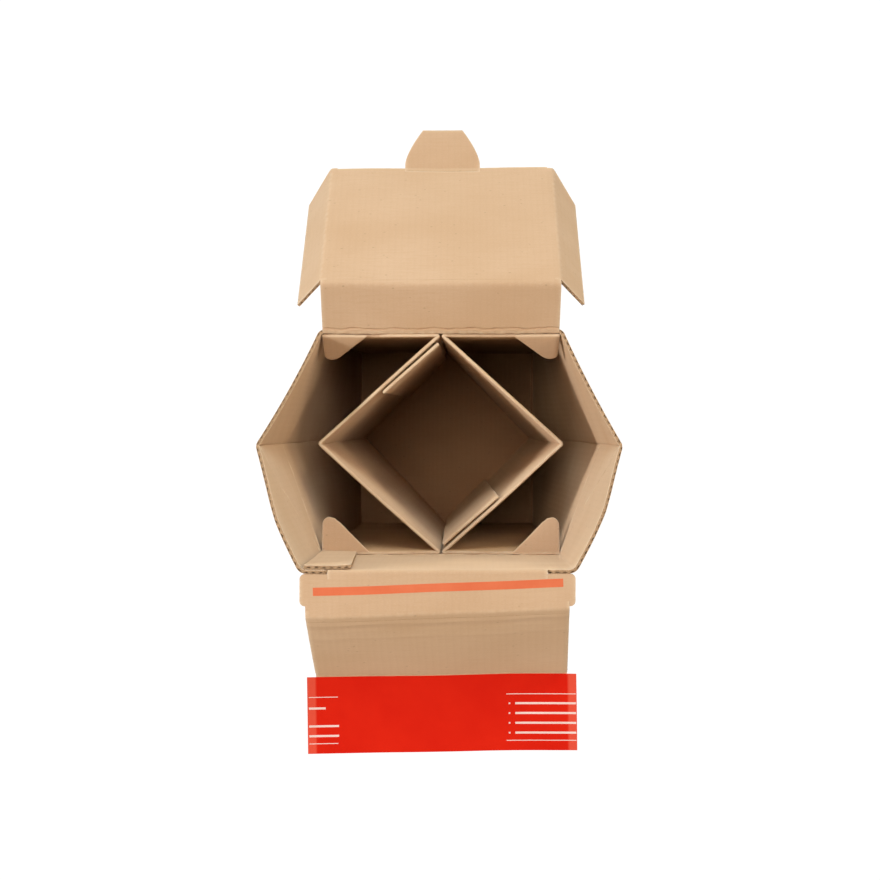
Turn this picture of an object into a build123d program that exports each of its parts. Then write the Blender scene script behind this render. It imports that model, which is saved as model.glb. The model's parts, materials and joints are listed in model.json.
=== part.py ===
from build123d import *
import os
from math import hypot, radians, tan

# A bottle shipping box of fine corrugated board, open at the top, in millimetres.
# +Z is up, +Y is the back, and the origin is the middle of the underside.

# Board and folds
board = 2.0  # thickness of the corrugated board
glue_gap = 0.1  # room for glue between two sheets
free_gap = 0.3  # clearance of a part that only lies against another
crease_gap = 0.15  # from a fold's axis to the blunt tip of the board beside it
crease_angle = 28.0  # half angle of the pressed tip at a fold

# Outer case: a square at the floor, whose side walls bulge along a centre crease
case_width = 122.0
case_depth = 125.0
depth_at_rim = 114.6  # outside, at the back wall's height
back_height = 352.0
cover_height = 114.0  # how far the front wall stands above the back wall
bulge_at_floor = 0.5
bulge_at_rim = 25.0  # of each side crease, at its top end
floor_slot = 0.8  # gap of the inner floor at the back and right walls
joint_flap_width = 21.0  # glue flap inside the upper front wall
joint_flap_slant = 4.0
joint_flap_margin = 3.0  # from its upper edge to the wall's

# Lid hinged on the back wall: riser, lid panel, two dust flaps and a tongue
lid_width = 118.0
riser_length = 26.5
riser_slope = 34.0  # above the horizontal, leaning back
lid_length = 108.5
lid_slope = -51.0
dust_flap_depth = 18.3
dust_flap_turn = -50.0  # from the lid's plane, away from its inner face
dust_flap_inset = 2.0
dust_flap_slant = 12.5
tongue_base = 40.0
tongue_tip = 21.2
tongue_length = 25.5
tongue_bow = 1.4  # of each side edge, outwards
tongue_radius = 1.5
tongue_slope = -28.0

# Closure hinged on the front wall: tear panel, long panel and seal panel
closure_width = 115.6
tear_panel_length = 17.7
tear_panel_slope = 0.0
tear_ear_width = 2.5  # rounded ears of the tear panel, beside its fold
tear_ear_length = 14.0
tear_ear_radius = 2.2
tear_slit = 12.0
slit_gap = 0.9
long_panel_length = 55.0
long_panel_slope = -54.0
closure_skew = 2.0  # turn of its lower folds, in each panel's plane
seal_skew = -2.4
seal_panel_length = 35.5
seal_panel_slope = 0.0

# Tapes on the closure
tape_thickness = 0.3
tear_tape_width = 3.6
tear_tape_length = 109.5
tear_tape_offset = 6.6
adhesive_width = 24.0
adhesive_offset = 16.0
liner_length = 124.0
liner_width = 35.2
liner_offset = 18.55

# Bottle cell: a square tube set cornerwise, made of two folded halves
cell_half_width_floor = 59.0
cell_half_width_rim = 62.3
cell_clearance = 0.4  # between the two halves where they meet
lap_length = 38.0
ear_base = 19.0
ear_length = 18.0
ear_tip = 9.0
ear_radius = 4.0
ear_slope_back = -35.0
ear_slope_front = -12.0

front_height = back_height + cover_height
crease_length = board / 2 / tan(radians(crease_angle))
crease_tip = crease_gap * tan(radians(crease_angle))
wall_lean = (case_depth - depth_at_rim) / 2 / back_height
bulge_growth = (bulge_at_rim - bulge_at_floor) / (back_height + cover_height / 2)
floor_top = 2 * board
reach = 2 * (case_width + case_depth)
right = Vector(1, 0, 0)
left = Vector(-1, 0, 0)
up = Vector(0, 0, 1)


def half_depth(z):
    """Half the outside depth of the case at a height."""
    return case_depth / 2 - wall_lean * z


def inner_corner(z):
    """Right back corner of the case's inside at a height."""
    depth = half_depth(z)
    bulge = bulge_at_floor + bulge_growth * z
    return case_width / 2 - board * (hypot(depth, bulge) - bulge) / depth, depth - board


def hexagon(z, wall):
    """Section of the case at a height, moved in by a wall."""
    depth = half_depth(z)
    bulge = bulge_at_floor + bulge_growth * z
    slant = hypot(depth, bulge)
    corner_x = case_width / 2 - wall * (slant - bulge) / depth
    crease_x = case_width / 2 + bulge - wall * slant / depth
    corner_y = depth - wall
    return [
        (corner_x, corner_y),
        (crease_x, 0),
        (corner_x, -corner_y),
        (-corner_x, -corner_y),
        (-crease_x, 0),
        (-corner_x, corner_y),
    ]


def ruled_prism(low, high, outline):
    """Solid with straight sides between an outline's forms at two heights."""
    sections = []
    for z in (low, high):
        with BuildSketch(Plane.XY.offset(z)) as section:
            with BuildLine():
                Polyline(*outline(z), close=True)
            make_face()
        sections.append(section.sketch)
    with BuildPart() as prism:
        loft(sections, ruled=True)
    return prism.part


def fold_on(panel, distance, turn, skew=0):
    """Plane of the panel folded on at a distance: x along the fold, y away from it."""
    normal = Axis((0, 0, 0), panel.z_dir)
    along = panel.x_dir.rotate(normal, skew)
    away = panel.y_dir.rotate(normal, skew).rotate(Axis((0, 0, 0), along), turn)
    origin = panel.origin + panel.y_dir * distance
    return Plane(origin=origin, x_dir=along, z_dir=along.cross(away))


def press_fold(fold, into, span=reach):
    """Press a panel to a blunt tip beside a fold; into points from the fold into it."""
    far = board / tan(radians(crease_angle))
    side = Plane(origin=fold.origin, x_dir=into, z_dir=fold.x_dir)
    with BuildSketch(side) as waste:
        with BuildLine():
            Polyline(
                (crease_gap, -crease_tip),
                (far, -board),
                (-reach, -board),
                (-reach, board),
                (far, board),
                (crease_gap, crease_tip),
                close=True,
            )
        make_face()
    extrude(waste.sketch, amount=span, both=True, mode=Mode.SUBTRACT)


# Folds of the lid, from the back wall outwards
back_fold = Plane(
    origin=(0, half_depth(back_height) - board / 2, back_height), x_dir=right, z_dir=up
)
riser = fold_on(back_fold, 0, riser_slope)
lid = fold_on(riser, riser_length, lid_slope - riser_slope)
tongue = fold_on(lid, lid_length, tongue_slope - lid_slope)

# Folds of the closure, from the front wall outwards
front_fold = Plane(
    origin=(0, -half_depth(front_height) + board / 2, front_height),
    x_dir=left,
    z_dir=up,
)
tear = fold_on(front_fold, 0, tear_panel_slope)
long = fold_on(
    tear, tear_panel_length, long_panel_slope - tear_panel_slope, closure_skew
)
seal_turn = seal_panel_slope - long_panel_slope
seal = fold_on(long, long_panel_length, seal_turn, seal_skew)


# Outer case, one folded sheet with a floor of two layers
with BuildPart() as outer_case:
    add(ruled_prism(0, front_height, lambda z: hexagon(z, 0)))
    add(
        ruled_prism(board, front_height, lambda z: hexagon(z, board)),
        mode=Mode.SUBTRACT,
    )
    # The inner floor layer is folded from the front and left walls.
    floor_margin = board / 2
    shift = (board + floor_slot - floor_margin) / 2
    with BuildSketch(Plane.XY.offset(board)) as inner_floor:
        with Locations((-shift, -shift)):
            Rectangle(
                case_width - board - floor_slot - floor_margin,
                case_depth - board - floor_slot - floor_margin,
            )
    extrude(amount=board)
    # Joint flap, glued inside the upper front wall beside the left corner
    front_wall = Plane(
        origin=(0, -half_depth(back_height) + board / 2, back_height),
        x_dir=left,
        z_dir=(0, 1, -wall_lean),
    )
    flap_root = case_width / 2 - board / 2
    flap_end = case_width / 2 - board - joint_flap_width
    flap_top = cover_height - joint_flap_margin
    with BuildSketch(front_wall) as joint_flap:
        with BuildLine():
            Polyline(
                (flap_root, 2 * glue_gap),
                (flap_end + joint_flap_slant, 2 * glue_gap),
                (flap_end, flap_top),
                (flap_root, flap_top),
                close=True,
            )
        make_face()
    extrude(amount=1.5 * board)
    # The rim is cut in one slant, from the back wall's fold up to the front wall's.
    back_y = back_fold.origin.Y
    front_y = front_fold.origin.Y
    with BuildSketch(Plane.YZ) as above_rim:
        with BuildLine():
            Polyline(
                (reach, back_height - crease_length),
                (back_y + board / 2, back_height - crease_length),
                (back_y + crease_tip, back_height - crease_gap),
                (back_y - crease_tip, back_height - crease_gap),
                (back_y - board / 2, back_height - crease_length),
                (front_y + board / 2, front_height - crease_length),
                (front_y + crease_tip, front_height - crease_gap),
                (front_y - crease_tip, front_height - crease_gap),
                (front_y - board / 2, front_height - crease_length),
                (-reach, front_height - crease_length),
                (-reach, front_height + board),
                (reach, front_height + board),
                close=True,
            )
        make_face()
    extrude(amount=reach, both=True, mode=Mode.SUBTRACT)
outer_case.part.label = "outer_case"


def cell_sides(z):
    """Half width and half depth of the cell's outside, and its wall's share of them."""
    growth = (cell_half_width_rim - cell_half_width_floor) / back_height
    width = cell_half_width_floor + growth * z
    depth = inner_corner(z)[1] - glue_gap
    return width, depth, hypot(width, depth) / (width * depth)


def half_outline(z):
    """Section of the right half of the cell: two flanges and a cornerwise V."""
    width, depth, share = cell_sides(z)
    seam = cell_clearance / 2
    inner = 1 - board * share
    flange_end = inner_corner(z)[0] - free_gap
    flange_y = depth - board
    flange_x = width * board / depth
    inner_y = depth * (inner - seam / width)
    return [
        (flange_end, depth),
        (seam, depth),
        (seam, inner_y),
        (width * inner, 0),
        (seam, -inner_y),
        (seam, -depth),
        (flange_end, -depth),
        (flange_end, -flange_y),
        (flange_x, -flange_y),
        (width, 0),
        (flange_x, flange_y),
        (flange_end, flange_y),
    ]


def lap_outline(z):
    """Section of the right half's lap, inside the left half's back wall."""
    width, depth, share = cell_sides(z)
    root = 1 - board * share / 2
    end_x = lap_length * width / hypot(width, depth)
    outer, inner = (1 - layer * share for layer in (board + glue_gap, 2 * board))
    return [
        ((root - outer) / 2 * width, (root + outer) / 2 * depth),
        ((root - inner) / 2 * width, (root + inner) / 2 * depth),
        (-end_x, depth * (inner - end_x / width)),
        (-end_x, depth * (outer - end_x / width)),
    ]


def cell_half(side):
    """One half of the cell: 1 is the right one, -1 the left one, turned half round."""
    corner_x, corner_y = inner_corner(back_height)
    slopes = (ear_slope_back, ear_slope_front)
    with BuildPart() as half:
        add(ruled_prism(floor_top, back_height, half_outline))
        add(ruled_prism(floor_top, back_height, lap_outline))
        for end, slope in zip((1, -1), slopes if side == 1 else slopes[::-1]):
            top_edge = Plane(
                origin=(
                    corner_x - free_gap,
                    end * (corner_y - glue_gap - board / 2),
                    back_height - board / 2,
                ),
                x_dir=(end, 0, 0),
                z_dir=(0, 0, -1),
            )
            ear = fold_on(top_edge, 0, -slope)
            with BuildSketch(ear) as outline:
                with BuildLine():
                    Polyline(
                        (0, 0),
                        (0, ear_length),
                        (-end * ear_tip, ear_length),
                        (-end * ear_base, 0),
                        close=True,
                    )
                make_face()
                fillet(outline.vertices().sort_by(Axis.Y)[-2:], ear_radius)
            extrude(outline.sketch, amount=board / 2, both=True)
    return half.part if side == 1 else half.part.rotate(Axis.Z, 180)


cell_right = cell_half(1)
cell_right.label = "cell_right"
cell_left = cell_half(-1)
cell_left.label = "cell_left"


def panel_sheet(fold, width, length):
    """Rectangle of board folded on across its middle."""
    with BuildSketch(fold) as outline:
        Rectangle(width, length, align=(Align.CENTER, Align.MIN))
    extrude(outline.sketch, amount=board / 2, both=True)


# Riser, from the back wall's fold to the lid's
with BuildPart() as lid_riser:
    panel_sheet(riser, lid_width, riser_length)
    press_fold(riser, riser.y_dir)
    press_fold(lid, -riser.y_dir)
lid_riser.part.label = "lid_riser"


def dust_fold(side):
    """Plane of a dust flap, with its x running along the lid's side edge."""
    hinge = Axis((0, 0, 0), lid.y_dir)
    away = (right * side).rotate(hinge, -side * dust_flap_turn)
    along = lid.y_dir * -side
    origin = lid.origin + right * side * lid_width / 2
    return Plane(origin=origin, x_dir=along, z_dir=along.cross(away))


# Lid panel, pressed at the riser, at both dust flaps and at the tongue
with BuildPart() as lid_panel:
    panel_sheet(lid, lid_width, lid_length)
    press_fold(lid, lid.y_dir)
    for side in (1, -1):
        press_fold(dust_fold(side), right * -side)
    press_fold(tongue, -lid.y_dir, tongue_base / 2 + free_gap)
lid_panel.part.label = "lid_panel"


def dust_flap(side):
    """Flap beside the lid, square at the riser's end and slanted at the far one."""
    fold = dust_fold(side)
    near = -side * dust_flap_inset
    far = -side * (lid_length - dust_flap_inset)
    with BuildPart() as flap:
        with BuildSketch(fold) as outline:
            with BuildLine():
                Polyline(
                    (near, 0),
                    (near, dust_flap_depth),
                    (far + side * dust_flap_slant, dust_flap_depth),
                    (far, 0),
                    close=True,
                )
            make_face()
        extrude(outline.sketch, amount=board / 2, both=True)
        press_fold(fold, fold.y_dir)
    return flap.part


dust_flap_right = dust_flap(1)
dust_flap_right.label = "dust_flap_right"
dust_flap_left = dust_flap(-1)
dust_flap_left.label = "dust_flap_left"

# Tongue at the lid's far edge, whose sides bow out as they run in to its tip
with BuildPart() as lid_tongue:
    with BuildSketch(tongue) as outline:
        with BuildLine():
            base = Line((-tongue_base / 2, 0), (tongue_base / 2, 0))
            tip = Line((tongue_tip / 2, tongue_length), (-tongue_tip / 2, tongue_length))
            SagittaArc(base @ 1, tip @ 0, -tongue_bow)
            SagittaArc(tip @ 1, base @ 0, -tongue_bow)
        make_face()
        fillet(outline.vertices().group_by(Axis.Y)[-1], tongue_radius)
    extrude(amount=board / 2, both=True)
    press_fold(tongue, tongue.y_dir)
lid_tongue.part.label = "lid_tongue"

# Tear panel with rounded ears, cut free of the front wall by a slit at each end. It
# is drawn twice as long as it is and cut off along the skewed fold to the long panel.
with BuildPart() as tear_panel:
    panel_sheet(tear, closure_width, tear_panel_length * 2)
    ears_width = closure_width + 2 * tear_ear_width
    with BuildSketch(tear) as ears:
        with Locations((0, slit_gap)):
            RectangleRounded(
                ears_width,
                tear_ear_length,
                tear_ear_radius,
                align=(Align.CENTER, Align.MIN),
            )
    extrude(ears.sketch, amount=board / 2, both=True)
    with BuildSketch(tear) as slits:
        with Locations(
            (-closure_width / 2, slit_gap / 2), (closure_width / 2, slit_gap / 2)
        ):
            Rectangle(2 * (tear_slit - tear_ear_width), slit_gap)
    extrude(slits.sketch, amount=board, both=True, mode=Mode.SUBTRACT)
    press_fold(tear, tear.y_dir)
    press_fold(long, -tear.y_dir.rotate(Axis((0, 0, 0), tear.z_dir), closure_skew))
tear_panel.part.label = "tear_panel"

# Long panel, drawn too long as well and cut off along its fold to the seal panel
with BuildPart() as long_panel:
    panel_sheet(long, closure_width, 2 * long_panel_length)
    press_fold(long, long.y_dir)
    press_fold(seal, -long.y_dir.rotate(Axis((0, 0, 0), long.z_dir), seal_skew))
long_panel.part.label = "long_panel"

# Seal panel, which carries the adhesive
with BuildPart() as seal_panel:
    panel_sheet(seal, closure_width, seal_panel_length)
    press_fold(seal, seal.y_dir)
seal_panel.part.label = "seal_panel"


def tape(fold, middle, length, width, layer):
    """Strip of tape across a panel; layer 0 lies on the board, 1 on that tape."""
    with BuildPart() as strip:
        with BuildSketch(fold.offset(board / 2 + layer * tape_thickness)):
            with Locations((0, middle)):
                Rectangle(length, width)
        extrude(amount=tape_thickness)
    return strip.part


skewed_tear = Plane(
    origin=tear.origin,
    x_dir=tear.x_dir.rotate(Axis((0, 0, 0), tear.z_dir), closure_skew),
    z_dir=tear.z_dir,
)
tear_tape = tape(skewed_tear, tear_tape_offset, tear_tape_length, tear_tape_width, 0)
tear_tape.label = "tear_tape"
adhesive_length = closure_width - 2 * tear_ear_width
adhesive_strip = tape(seal, adhesive_offset, adhesive_length, adhesive_width, 0)
adhesive_strip.label = "adhesive_strip"
release_liner = tape(seal, liner_offset, liner_length, liner_width, 1)
release_liner.label = "release_liner"

os.makedirs("parts", exist_ok=True)
pieces = [
    outer_case.part,
    cell_right,
    cell_left,
    lid_riser.part,
    lid_panel.part,
    dust_flap_right,
    dust_flap_left,
    lid_tongue.part,
    tear_panel.part,
    tear_tape,
    long_panel.part,
    seal_panel.part,
    adhesive_strip,
    release_liner,
]
for piece in pieces:
    export_step(piece, f"parts/{piece.label}.step")
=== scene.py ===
import json
import math

import bpy
import numpy as np
from mathutils import Matrix, Vector


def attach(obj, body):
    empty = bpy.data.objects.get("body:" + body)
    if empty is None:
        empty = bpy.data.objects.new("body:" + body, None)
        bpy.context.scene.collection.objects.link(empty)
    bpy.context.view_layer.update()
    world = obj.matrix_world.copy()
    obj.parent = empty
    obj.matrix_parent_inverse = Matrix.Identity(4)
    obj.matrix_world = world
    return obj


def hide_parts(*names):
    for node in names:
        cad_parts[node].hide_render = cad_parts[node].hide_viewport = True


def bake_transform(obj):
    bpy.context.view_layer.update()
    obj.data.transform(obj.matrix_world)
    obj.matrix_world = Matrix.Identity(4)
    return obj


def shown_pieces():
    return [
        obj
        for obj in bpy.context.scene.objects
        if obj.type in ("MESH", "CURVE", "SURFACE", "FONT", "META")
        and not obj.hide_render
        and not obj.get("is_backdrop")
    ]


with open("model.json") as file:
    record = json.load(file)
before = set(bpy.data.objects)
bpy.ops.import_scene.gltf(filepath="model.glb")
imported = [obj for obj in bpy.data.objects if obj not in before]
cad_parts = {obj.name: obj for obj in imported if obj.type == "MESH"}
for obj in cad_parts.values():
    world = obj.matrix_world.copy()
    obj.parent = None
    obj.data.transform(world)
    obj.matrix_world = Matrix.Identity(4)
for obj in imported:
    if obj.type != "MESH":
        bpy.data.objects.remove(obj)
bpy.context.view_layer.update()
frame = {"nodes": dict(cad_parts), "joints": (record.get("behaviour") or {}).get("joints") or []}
mm = 0.001  # shapes are worked out in millimetres and stored in metres
foldPoint = {j["name"]: np.array(j["pos_m"]) / mm for j in frame["joints"]}
foldAxis = {j["name"]: np.array(j["axis"]) for j in frame["joints"]}
print("frame loaded:", len(frame["nodes"]), "nodes")


# Small helpers

def unit(vector):
    # the vector over its own length
    return vector / np.linalg.norm(vector, axis=-1, keepdims=True)


def turned(vector, axis, degrees):
    # Rodrigues: the vector turned about a unit axis
    c, s = math.cos(math.radians(degrees)), math.sin(math.radians(degrees))
    return vector * c + np.cross(axis, vector) * s + axis * (axis @ vector) * (1 - c)


def smoothStep(t):
    # three t squared less two t cubed: from 0 to 1 with level ends
    t = np.clip(t, 0, 1)
    return t * t * (3 - 2 * t)


def bell(t):
    # e to the power of minus t squared
    return np.exp(-t * t)


# Handling has bent the whole box a little: one smooth field moves every surface alike
handling = dict(
    amount=0.42,
    wavelengths=(150.0, 96.0, 61.0),
    seed=11,
    steady=40.0,  # below this height the field fades out, so that the foot stays level
)


def handled(p):
    # each coordinate gets a sum of long sine waves that run in random directions
    draw = np.random.default_rng(handling["seed"])
    shift = np.zeros_like(p)
    for wavelength in handling["wavelengths"]:
        for k in range(3):
            direction = unit(draw.normal(size=3))
            wave = np.sin(p @ direction * 2 * math.pi / wavelength + draw.uniform(0, 6.28))
            shift[..., k] += handling["amount"] * wave / len(handling["wavelengths"])
    shift[..., 2] *= np.clip(p[..., 2] / handling["steady"], 0, 1)
    return p + shift


def ripple(x, wavelength, seed, octaves=3):
    # sum of sine waves, each shorter and lower than the one before: between about -1 and 1
    draw = np.random.default_rng(seed)
    total = np.zeros_like(x, dtype=float)
    for octave in range(octaves):
        length = wavelength / 1.9**octave
        total = total + np.sin(x * 2 * math.pi / length + draw.uniform(0, 6.28)) / (octave + 1)
    return total / 1.5


# Meshes: every sheet is a closed thin solid on a grid of u (across the flutes) and v

def surfaceFrame(mid, u, v, step=0.06):
    # points of the surface, and its normals from small steps to both sides
    du = mid(u + step, v) - mid(u - step, v)
    dv = mid(u, v + step) - mid(u, v - step)
    return mid(u, v), unit(np.cross(du, dv))


def gridSolid(centre, normal, top, bottom, u, v, wearAndHighlight, slots, ring=False):
    # one closed layer, from bottom to top above the surface; slots are for its top, bottom and rims
    upper, lower = centre + normal * top[..., None], centre + normal * bottom[..., None]
    nu, nv = u.shape
    index = np.arange(nu * nv).reshape(nu, nv)
    if ring:
        index = np.vstack([index, index[:1]])
    below = index + nu * nv
    a, b, c, d = index[:-1, :-1], index[1:, :-1], index[1:, 1:], index[:-1, 1:]
    broad = np.stack([a, b, c, d], -1).reshape(-1, 4)
    parts = [broad, broad[:, ::-1] + nu * nv]
    kinds = [np.full(len(broad), slots[0]), np.full(len(broad), slots[1])]
    rims = [
        np.stack([below[:-1, 0], below[1:, 0], index[1:, 0], index[:-1, 0]], -1),
        np.stack([below[1:, -1], below[:-1, -1], index[:-1, -1], index[1:, -1]], -1),
    ]
    if not ring:
        rims.append(np.stack([below[0, 1:], below[0, :-1], index[0, :-1], index[0, 1:]], -1))
        rims.append(np.stack([below[-1, :-1], below[-1, 1:], index[-1, 1:], index[-1, :-1]], -1))
    for rim in rims:
        parts.append(rim)
        kinds.append(np.full(len(rim), slots[2]))
    points = np.concatenate([upper.reshape(-1, 3), lower.reshape(-1, 3)])
    flat = np.stack([u, v], -1).reshape(-1, 2)
    return dict(
        points=points,
        faces=np.concatenate(parts),
        kinds=np.concatenate(kinds),
        map=np.concatenate([flat, flat]),
        wearAndHighlight=np.concatenate([wearAndHighlight.ravel(), wearAndHighlight.ravel()]),
    )


def makeObject(name, solids, materials, body=None, sharp=38):
    # one mesh of several solids; edges that turn by more than this angle stay sharp
    counts = np.cumsum([0] + [len(s["points"]) for s in solids])
    points = handled(np.concatenate([s["points"] for s in solids]))
    faces = np.concatenate([s["faces"] + n for s, n in zip(solids, counts)])
    kinds = np.concatenate([s["kinds"] for s in solids])
    flat = np.concatenate([s["map"] for s in solids])
    wearAndHighlight = np.concatenate([s["wearAndHighlight"] for s in solids])
    mesh = bpy.data.meshes.new(name)
    mesh.vertices.add(len(points))
    mesh.vertices.foreach_set("co", (points * mm).astype(np.float32).ravel())
    mesh.loops.add(faces.size)
    mesh.loops.foreach_set("vertex_index", faces.astype(np.int32).ravel())
    mesh.polygons.add(len(faces))
    mesh.polygons.foreach_set("loop_start", np.arange(0, faces.size, 4, dtype=np.int32))
    for material in materials:
        mesh.materials.append(material)
    mesh.polygons.foreach_set("material_index", kinds.astype(np.int32))
    mesh.update(calc_edges=True)
    layer = mesh.uv_layers.new(name="boardMap")
    layer.data.foreach_set("uv", (flat[faces.ravel()] * mm).astype(np.float32).ravel())
    attribute = mesh.attributes.new("wearAndHighlight", "FLOAT", "POINT")
    attribute.data.foreach_set("value", wearAndHighlight.astype(np.float32))
    mesh.polygons.foreach_set("use_smooth", np.ones(len(faces), dtype=bool))
    mesh.set_sharp_from_angle(angle=math.radians(sharp))
    mesh.validate()
    piece = bpy.data.objects.new(name, mesh)
    bpy.context.scene.collection.objects.link(piece)
    if body:
        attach(piece, body)
    return piece


# Corrugated board: two liners with a waved medium between them
board = dict(
    thickness=2.0,
    liner=0.26,
    medium=0.2,
    pitch=3.3,
    crush=0.26,  # share of the thickness that the die takes away at a cut edge
    crushReach=0.8,
    burr=0.42,  # how far the inner liner is dragged over the flutes at a cut edge
    fray=0.3,  # how much thicker the torn medium is at a cut edge
    edgeRound=0.8,  # radius of an edge whose flutes are pressed shut
    shutEdge=0.25,  # share of the thickness left at an edge that is pressed shut
    shutTaper=0.28,
    shutTaperReach=1.5,
    foldReach=3.0,  # half the width of a fold strip
    samplesPerFlute=10,
    mapGap=700.0,  # on the flat map the inner liner, the outer one and the medium lie this far apart
)
half = board["thickness"] / 2
# how far the first rows and columns lie from a cut edge
edgeSteps = np.array([0, 0.12, 0.38, 0.9, 1.8, 3.2])


def rowsBetween(low, high, count, even=False):
    # distances that are close together near both ends and even between them
    low, high = low[:, None], high[:, None]
    if even:
        return low + (high - low) * np.linspace(0, 1, count + 1)
    scale = np.minimum(1, (high - low) / (2.6 * edgeSteps[-1]))
    near = low + edgeSteps * scale
    far = high - edgeSteps[::-1] * scale
    t = np.linspace(0, 1, count + 2)[1:-1]
    middle = near[:, -1:] + (far[:, :1] - near[:, -1:]) * t
    return np.concatenate([near, middle, far], 1)


def jumpAt(place, gap=0.03):
    # two columns close together, where an outline jumps
    return place + np.array([-gap, gap])


def columnsBetween(low, high, spacing):
    # the edge steps from both ends, and even spacing between them
    inner = np.linspace(edgeSteps[-1], high - low - edgeSteps[-1], max(2, round((high - low) / spacing)))
    return low + np.concatenate([edgeSteps[:-1], inner, high - low - edgeSteps[-2::-1]])


def boardSheet(
    mid,
    columns,
    low,
    high,
    rows=8,
    cuts=(True, True, True, True),
    inside=1,
    press=None,
    relief=None,
    shift=(0.0, 0.0),
    closed=False,
):
    # mid(u, v) gives the middle surface; low(u) and high(u) bound v; cuts says which of
    # the ends low, high, first u and last u are cut edges; closed edges are pressed shut
    def edgeState(u, v, lowV, highV):
        # share of the thickness that is left, the pale rubbing mixed with painted highlight, and distance
        # from the nearest cut edge: the board thins exponentially towards an open edge and in a quarter
        # ellipse towards a shut one
        nearest = np.full(u.shape, 1e6)
        for isCut, distance in zip(cuts, (v - lowV, highV - v, u - columns[0], columns[-1] - u)):
            if isCut:
                nearest = np.minimum(nearest, np.abs(distance))
        if closed:
            past = np.clip(1 - nearest / board["edgeRound"], 0, 1)
            taper = 1 - board["shutTaper"] * np.exp(-nearest / board["shutTaperReach"])
            share = (board["shutEdge"] + (1 - board["shutEdge"]) * np.sqrt(1 - past**2)) * taper
        else:
            share = 1 - board["crush"] * np.exp(-nearest / board["crushReach"])
        wornAndHighlit = np.exp(-nearest / (0.4 if closed else 0.8))
        if press is not None:
            pressed, scuffedAndHighlit = press(u, v)
            share = share * pressed
            wornAndHighlit = np.maximum(wornAndHighlit, scuffedAndHighlit)
        return share, wornAndHighlit, nearest

    lowV, highV = low(columns), high(columns)
    even = not (cuts[0] or cuts[1] or closed)
    v = rowsBetween(lowV, highV, rows, even)
    u = np.repeat(columns[:, None], v.shape[1], 1)
    share, wornAndHighlit, nearest = edgeState(u, v, lowV[:, None], highV[:, None])
    centre, normal = surfaceFrame(mid, u, v)
    raised = relief(u, v) if relief is not None else np.zeros_like(u)
    if closed:
        top, bottom = raised + half * share, raised - half * share
        slots = (0, 1, 0) if inside == 1 else (1, 0, 0)
        return [gridSolid(centre, normal, top, bottom, u + shift[0], v + shift[1], wornAndHighlit, slots)]
    solids = []
    for side in (1, -1):
        face = 0 if side == inside else 1
        burr = board["burr"] * np.exp(-nearest / 0.4) if side == inside else 0
        outer = side * half * share + raised
        inner = outer - side * (board["liner"] + burr)
        top, bottom = (outer, inner) if side == 1 else (inner, outer)
        slots = (face, 2, 2) if side == 1 else (2, face, 2)
        mapU = u + shift[0] + board["mapGap"] * face
        solids.append(gridSolid(centre, normal, top, bottom, mapU, v + shift[1], wornAndHighlit, slots))
    flutes = max(2, round((columns[-1] - columns[0]) / board["pitch"]))
    fine = np.linspace(columns[0], columns[-1], flutes * board["samplesPerFlute"] + 1)
    fineHigh, fineLow = np.interp(fine, columns, highV), np.interp(fine, columns, lowV)
    v = rowsBetween(fineLow, fineHigh, rows, even)
    u = np.repeat(fine[:, None], v.shape[1], 1)
    share, _, nearest = edgeState(u, v, fineLow[:, None], fineHigh[:, None])
    centre, normal = surfaceFrame(mid, u, v)
    thick = board["medium"] + board["fray"] * np.exp(-nearest / 0.5)
    reach = half * share - board["liner"] - thick / 2
    wave = reach * np.sin((u + shift[0]) * 2 * math.pi / board["pitch"])
    if relief is not None:
        wave = wave + relief(u, v)
    top, bottom = wave + thick / 2, wave - thick / 2
    mapU = u + shift[0] + board["mapGap"] * 2
    solids.append(gridSolid(centre, normal, top, bottom, mapU, v + shift[1], wave * 0, (2, 2, 2)))
    return solids


def alongCorners(at, corners, stations):
    # straight lines between corners; before the first station and after the last they go on
    total = np.zeros(at.shape + (2,))
    last = len(stations) - 2
    for k in range(last + 1):
        share = (at - stations[k]) / (stations[k + 1] - stations[k])
        on = ((at >= stations[k]) | (k == 0)) & ((at < stations[k + 1]) | (k == last))
        for axis in (0, 1):
            line = corners[k][axis] * (1 - share) + corners[k + 1][axis] * share
            total[..., axis] += np.where(on, line, 0)
    return total


def roundedLine(x, first, second, radius):
    # a line that turns from one direction to the other at x = 0, averaged over the radius
    total = 0
    for k in np.linspace(-1, 1, 9):
        at = x + k * radius
        total = total + np.where(at[..., None] < 0, at[..., None] * first, at[..., None] * second)
    return total / 9


# Folds: bend radius, how thin the score is pressed, how pale it is rubbed (partly real scuffing, partly
# painted highlight), and a raised bead with a groove beside it where the board is doubled over
folds = dict(
    riser=dict(radius=1.3, press=0.12, scuffAndHighlight=0.5, bead=0.6, groove=0.9),
    lid=dict(radius=0.7, press=0.22, scuffAndHighlight=0.14, bead=0.0, groove=0.0),
    dust=dict(radius=0.6, press=0.2, scuffAndHighlight=0.3, bead=0.0, groove=0.0),
    tongue=dict(radius=0.6, press=0.12, scuffAndHighlight=0.08, bead=0.0, groove=0.0),
    tear=dict(radius=1.2, press=0.12, scuffAndHighlight=0.1, bead=0.0, groove=0.0),
    long=dict(radius=0.6, press=0.2, scuffAndHighlight=0.2, bead=0.0, groove=0.0),
    seal=dict(radius=0.8, press=0.25, scuffAndHighlight=0.2, bead=0.0, groove=0.0),
)


def pressedFold(fold, seed, alongU):
    # thickness of a pressed fold, and its pale scuffing with painted highlight along the ridge: bell curves
    # across it, uneven along its length
    def press(u, v):
        along, across = (u, v) if alongU else (v, u)
        uneven = ripple(along, 17, seed) * 0.25
        share = 1 - fold["press"] * bell((across + uneven) / 1.25)
        scuffedAndHighlit = bell((across + uneven) / 0.9) * fold["scuffAndHighlight"] * (0.9 + 0.6 * ripple(along, 5, seed + 1))
        return share, np.clip(scuffedAndHighlit, 0, 1)

    return press


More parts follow.
